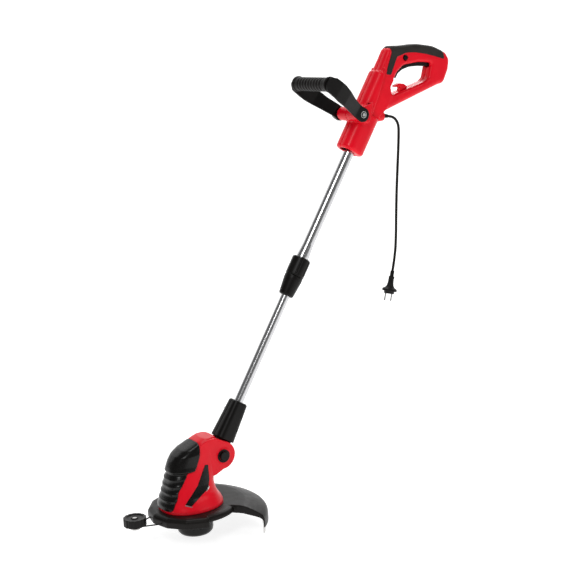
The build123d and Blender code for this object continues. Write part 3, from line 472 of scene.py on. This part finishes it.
# ------------------------------------------------------------------ motor head
# height, front, rear, half width, squareness of the head's level sections
HEAD_SECTIONS = [
    (69.5, -81.0, 66.0, 66.5, 2.2), (76, -81.0, 66.0, 65.0, 2.2), (84, -80.0, 62.5, 59.0, 2.25),
    (92, -78.0, 56.5, 53.0, 2.4), (100, -75.0, 52.0, 48.5, 2.6), (110, -70.5, 48.0, 45.5, 2.8),
    (122, -66.5, 46.0, 42.5, 2.9), (136, -63.0, 48.0, 39.5, 2.9), (153, -58.5, 54.0, 36.0, 2.8),
    (168, -54.0, 60.0, 33.5, 2.7), (180, -48.5, 64.0, 32.5, 2.8), (192, -39.0, 64.0, 32.0, 3.0),
    (203, -24.0, 62.0, 31.0, 3.2), (211, -4.0, 60.0, 30.0, 3.4), (217, 10.0, 58.0, 28.5, 3.4),
    (222, 24.0, 54.0, 26.0, 3.2),
]
SEAM = [
    (14, 260), (9, 214), (7, 200), (4, 186), (-5, 167), (-11, 158.5), (-27, 155.5), (-56, 116), (-57, 108),
    (-71, 82), (-76, 77), (-150, 75), (-150, 260),
]
CHEEK = [
    (6, 200), (12, 212), (25, 217.5), (37, 220), (53, 218), (82, 202), (95, 186), (92, 156), (66, 143),
    (47, 134), (6, 128),
]


def section_at(z):
    """The head's front, rear, half width and squareness at one height."""
    rows = HEAD_SECTIONS
    if z <= rows[0][0]:
        return rows[0][1:]
    for low, high in zip(rows, rows[1:]):
        if z <= high[0]:
            t = (z - low[0]) / (high[0] - low[0])
            return tuple(a + (b - a) * t for a, b in zip(low[1:], high[1:]))
    return rows[-1][1:]


def head_form(name, proud, detail=None, low=69.0, top=222.0, step=1.5, sides=120):
    """A closed form of the head; proud is how far it stands off the head's skin."""
    rows = int((top - low) / step)
    points, faces = [], []
    for row in range(rows + 1):
        z = low + (top - low) * row / rows
        front, rear, half, square = section_at(z)
        cx, a = (front + rear) / 2, (rear - front) / 2
        for i in range(sides):
            t = 2 * math.pi * i / sides
            c, s = math.cos(t), math.sin(t)
            off = proud + (detail(z, t) if detail else 0.0)
            x = cx + (a + off) * math.copysign(abs(c) ** (2 / square), c)
            y = (half + off) * math.copysign(abs(s) ** (2 / square), s)
            points.append(head(x, y, z + (proud if row == rows else 0)))
    for row in range(rows):
        for i in range(sides):
            j = (i + 1) % sides
            faces.append([row * sides + i, row * sides + j, (row + 1) * sides + j, (row + 1) * sides + i])
    faces.append(list(range(sides))[::-1])
    faces.append([rows * sides + i for i in range(sides)])
    return from_lists(name, points, faces)


def ease(low, high, value):
    t = min(1.0, max(0.0, (value - low) / (high - low)))
    return t * t * (3 - 2 * t)


LOUVRES = (98.0, 113.0, 128.0, 143.0)


def cover_detail(z, angle):
    """The motor cover's relief in millimetres: a bulging visor, four louvre ridges and a flared foot."""
    front = ease(0.25, 0.85, -math.cos(angle))
    visor = 3.2 * ease(155.5, 159.5, z) * (1 - ease(190, 216, z))
    waist = -1.2 * ease(146, 154, z) * (1 - ease(154, 157, z))
    ridges = sum(1.5 * math.exp(-((z - at - 4 * math.sin(angle) ** 2) / 3.0) ** 2) for at in LOUVRES) * front
    foot = 1.6 * (1 - ease(84, 94, z))
    return visor + waist + ridges + foot


def seam_prism(name, shift):
    return prism(name, [(x - shift, z) for x, z in SEAM], 110, head)


def add_head():
    """The red head shell, the black motor cover, the panels let into its sides and their trim."""
    shell = head_form("head_shell", 0.0)
    x, z = PIVOT
    for way in (-1, 1):
        low, high = sorted((way * 15.5, way * 31.0))
        shell = combine(shell, drum("lobe", x, z, low, high, 32.0, head), "UNION")
        shell = combine(shell, prism("cheek", CHEEK, 7.75, head, way * 23.25), "UNION")
        low, high = sorted((way * 28.0, way * 33.0))
        shell = combine(shell, drum("boss", x, z, low, high, 17.5, head), "UNION")
    shell = combine(shell, seam_prism("seam", 0.0), "DIFFERENCE")
    shell = combine(shell, head_form("hollow", -3.0, low=72.0, top=212.0, step=3.0), "DIFFERENCE")
    for cutter in socket_cutters():
        shell = combine(shell, cutter, "DIFFERENCE")
    shell = combine(shell, drum("button_bore", x, z, -60, 29, 8.6, head), "DIFFERENCE")
    shell = combine(shell, drum("knuckle_bore", x, z, -15.5, 15.5, 24.5, head), "DIFFERENCE")
    for way in (-1, 1):
        shell = combine(shell, panel_block("pocket", way, PANEL, 1.0, -1.2), "DIFFERENCE")
    shell = soften(shell, 1.1, 5, RED)
    stands_for(shell, "head", "red_shell", "head_shell_left", "head_shell_right")
    cover = head_form("motor_cover_skin", 1.4, cover_detail, low=72.0, top=220.0, step=1.0)
    cover = combine(cover, seam_prism("seam", 0.5), "INTERSECT")
    cover = combine(cover, head_form("hollow", -2.2, low=71.0, top=214.0, step=3.0), "DIFFERENCE")
    cover = soften(cover, 1.0, 4, GLOSS_BLACK)
    stands_for(cover, "head", "cover_black", "motor_cover")
    add_panels()


PANEL = [(17, 165), (25, 164), (23.5, 132), (17, 114), (-35, 87), (-46, 92), (-9, 125)]
TRIM = [
    [(-48, 89.5), (-35, 84.5), (-33, 85.8), (-46.5, 91.3)],
    [(9, 107), (19, 113), (19.8, 118), (10.5, 110.5)],
]


def panel_block(name, way, outline, proud, sunk):
    """The part of the head's skin, between two offsets, that lies behind a side-view outline."""
    block = head_form(name, proud, step=2.0)
    block = combine(block, head_form("inner", sunk, low=68.0, top=223.0, step=2.0), "DIFFERENCE")
    return combine(block, prism("outline", outline, 30, head, way * 50), "INTERSECT")


def add_panels():
    for way, side in ((-1, "left"), (1, "right")):
        panel = panel_block("panel_" + side, way, PANEL, 0.5, -1.2)
        panel.data.materials.append(GLOSS_BLACK)
        stands_for(panel, "head", "cover_black", "side_badges")
        for number, outline in enumerate(TRIM):
            sliver = panel_block(f"trim_{side}_{number}", way, outline, 0.5, -0.8)
            sliver.data.materials.append(BRIGHT)
            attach(sliver, "head")


def socket_cutters():
    """Blocks along the shaft at several tilts, which clear the way for the socket."""
    cutters = []
    for turn in range(0, 34, 11):
        lean = SHAFT_LEAN + math.radians(turn)
        way = Vector((math.sin(lean), 0, math.cos(lean)))
        rear = Vector((math.cos(lean), 0, -math.sin(lean)))
        for low, high, deep, wide in ((33.4, 133.4, 25.0, 28.0), (0.0, 60.0, 18.0, 15.5)):
            corners = []
            for along in (low, high):
                for a, b in ((-1, -1), (1, -1), (1, 1), (-1, 1)):
                    offset = way * along + rear * deep * a + Vector((0, b * wide, 0))
                    corners.append(head(PIVOT[0], 0, PIVOT[1]) + offset * MM)
            faces = [[0, 1, 2, 3], [7, 6, 5, 4], [0, 4, 5, 1], [1, 5, 6, 2], [2, 6, 7, 3], [3, 7, 4, 0]]
            cutters.append(from_lists("socket_space", corners, faces))
    return cutters


# ------------------------------------------------------------------ guard
GUARD_HALF = 50.0  # degrees each side of the rear that the wide shield covers
GUARD_WALL = 0.003
SHIELD = [
    (60, 68), (76, 68.5), (92, 69), (106, 69.2), (116, 68.8), (126, 66.5), (135, 63.2), (145, 59),
    (155, 54.3), (161, 50), (164.2, 45.5), (165.4, 40), (165.6, 22),
]
SKIRT = [(26, 68), (60, 68), (84, 68.8), (94, 68.5), (98, 67.2), (101, 64.5), (102.3, 61), (102.3, 48)]
FLANK = [(60, 68), (80, 68.8), (87, 68), (92, 66), (95, 62.5), (95.5, 57)]
STEP_ANGLE = 100.0  # degrees from the rear to where the front skirt steps down
FACETS = 14


def facet(angle, radius):
    """Pulls a round skirt in to flats between its corners."""
    if radius < 76:
        return radius
    part = 2 * math.pi / FACETS
    local = (angle % part) - part / 2
    flat = radius * math.cos(part / 2) / math.cos(local)
    blend = ease(76, 100, radius)
    return radius * (1 - blend) + (flat + radius * 0.012) * blend


def guard_sheet(name, profile, start, stop, steps, flats):
    """An open sheet swept round the spool's axis, given its wall afterwards."""
    points, faces = [], []
    for k in range(steps + 1):
        angle = math.radians(start + (stop - start) * k / steps)
        for r, z in profile:
            radius = facet(angle, r) if flats else r
            points.append(head(radius * math.cos(angle), radius * math.sin(angle), z))
    count = len(profile)
    for k in range(steps):
        for i in range(count - 1):
            a = k * count + i
            faces.append([a, a + 1, a + count + 1, a + count])
    sheet = from_lists(name, points, faces)
    wall = sheet.modifiers.new("wall", "SOLIDIFY")
    wall.thickness = GUARD_WALL
    wall.offset = 0
    return evaluated(sheet)


def guard_lip(name, angle, drop):
    """The stiffening lip that hangs from the shield's cut edge."""
    a = math.radians(angle)
    points, faces = [], []
    for r, z in SHIELD[1:-1]:
        low = z - drop * (1 - 0.45 * ease(120, 165, r))
        points += [head(r * math.cos(a), r * math.sin(a), z), head(r * math.cos(a), r * math.sin(a), low)]
    for i in range(len(points) // 2 - 1):
        faces.append([2 * i, 2 * i + 1, 2 * i + 3, 2 * i + 2])
    lip = from_lists(name, points, faces)
    wall = lip.modifiers.new("wall", "SOLIDIFY")
    wall.thickness = GUARD_WALL
    wall.offset = 0
    return evaluated(lip)


def join(pieces, name):
    build = bmesh.new()
    for piece in pieces:
        build.from_mesh(piece.data)
        bpy.data.objects.remove(piece)
    data = bpy.data.meshes.new(name)
    build.to_mesh(data)
    build.free()
    return add_object(name, data)


def step_wall(name, angle):
    """The wall that closes the front skirt where the lower flank begins."""
    a = math.radians(angle)
    corners = [(88, 66), (98, 66), (101.5, 62), (101.5, 48.5), (90, 48.5), (88, 56)]
    points = [head(r * math.cos(a), r * math.sin(a), z) for r, z in corners]
    wall = from_lists(name, points, [list(range(len(points)))])
    thick = wall.modifiers.new("wall", "SOLIDIFY")
    thick.thickness = GUARD_WALL
    thick.offset = 0
    return evaluated(wall)


def add_guard():
    step = STEP_ANGLE
    parts = [
        guard_sheet("skirt", SKIRT, step, 360 - step, 112, True),
        guard_sheet("near_flank", FLANK, -step, -GUARD_HALF, 34, False),
        guard_sheet("far_flank", FLANK, GUARD_HALF, step, 34, False),
        guard_sheet("shield", SHIELD, -GUARD_HALF, GUARD_HALF, 70, False),
        guard_sheet("deck", [(26, 68), (50, 68), (62, 68)], 0, 360, 90, False),
        guard_lip("near_lip", -GUARD_HALF + 0.6, 17),
        guard_lip("far_lip", GUARD_HALF - 0.6, 17),
        step_wall("near_step", -step - 0.8),
        step_wall("far_step", step + 0.8),
    ]
    guard = soften(join(parts, "guard_skin"), 1.2, 3, GUARD_BLACK)
    stands_for(guard, "head", "guard_black", "guard")


# ------------------------------------------------------------------ studio
def add_studio():
    """A pale floor that curves up into a backdrop, and soft lights."""
    made, nodes, links, shader = new_material("studio_white")
    vector = nodes.new("ShaderNodeTexCoord").outputs["Object"]
    tone = ramp(nodes, links, noise(nodes, links, vector, 3), (0.50, 0.50, 0.50), (0.51, 0.51, 0.51))
    links.new(tone, shader.inputs["Base Color"])
    shader.inputs["Roughness"].default_value = 0.9
    shader.inputs["Emission Color"].default_value = (1, 1, 1, 1)
    shader.inputs["Emission Strength"].default_value = 0.85
    look = Vector(CAMERA_BACK)
    back = Vector((-look.x, -look.y, 0)).normalized()
    side = Vector((back.y, -back.x, 0))
    centre = Vector((-0.3, 0, FLOOR_Z))
    flat, bend, steps = 2.6, 1.6, 16
    rows = [(-6.0, 0.0), (flat, 0.0)]
    for i in range(1, steps + 1):
        angle = math.pi / 2 * i / steps
        rows.append((flat + bend * math.sin(angle), bend - bend * math.cos(angle)))
    rows.append((flat + bend, 7.0))
    points = [centre + back * d + side * w + Vector((0, 0, h)) for d, h in rows for w in (-9.0, 9.0)]
    faces = [[2 * i, 2 * i + 1, 2 * i + 3, 2 * i + 2] for i in range(len(rows) - 1)]
    floor = from_lists("studio_floor", points, faces, made)
    for face in floor.data.polygons:
        face.use_smooth = True
    lamps = [
        ("key", (-3.2, -2.6, 2.6), 1.3, 62),
        ("fill", (1.6, -3.4, 1.4), 1.6, 22),
        ("top", (-0.2, 0.4, 3.4), 1.8, 52),
        ("rim", (1.8, 2.2, 1.8), 1.2, 25),
    ]
    for name, at, size, power in lamps:
        data = bpy.data.lights.new(name, "AREA")
        data.size = size
        data.energy = power
        lamp = bpy.data.objects.new(name, data)
        lamp.location = at
        target = Vector((-0.4, 0.0, -0.5))
        lamp.rotation_euler = (target - Vector(at)).to_track_quat("-Z", "Y").to_euler()
        bpy.context.scene.collection.objects.link(lamp)
    world = bpy.data.worlds.new("studio")
    bpy.context.scene.world = world
    world.use_nodes = True
    world.node_tree.nodes["Background"].inputs["Color"].default_value = (1, 1, 1, 1)
    world.node_tree.nodes["Background"].inputs["Strength"].default_value = 0.16
    bpy.context.scene.view_settings.view_transform = "Standard"


add_camera()
dress_cad_nodes()
add_lead()
add_mouldings()
add_head()
add_guard()
add_studio()
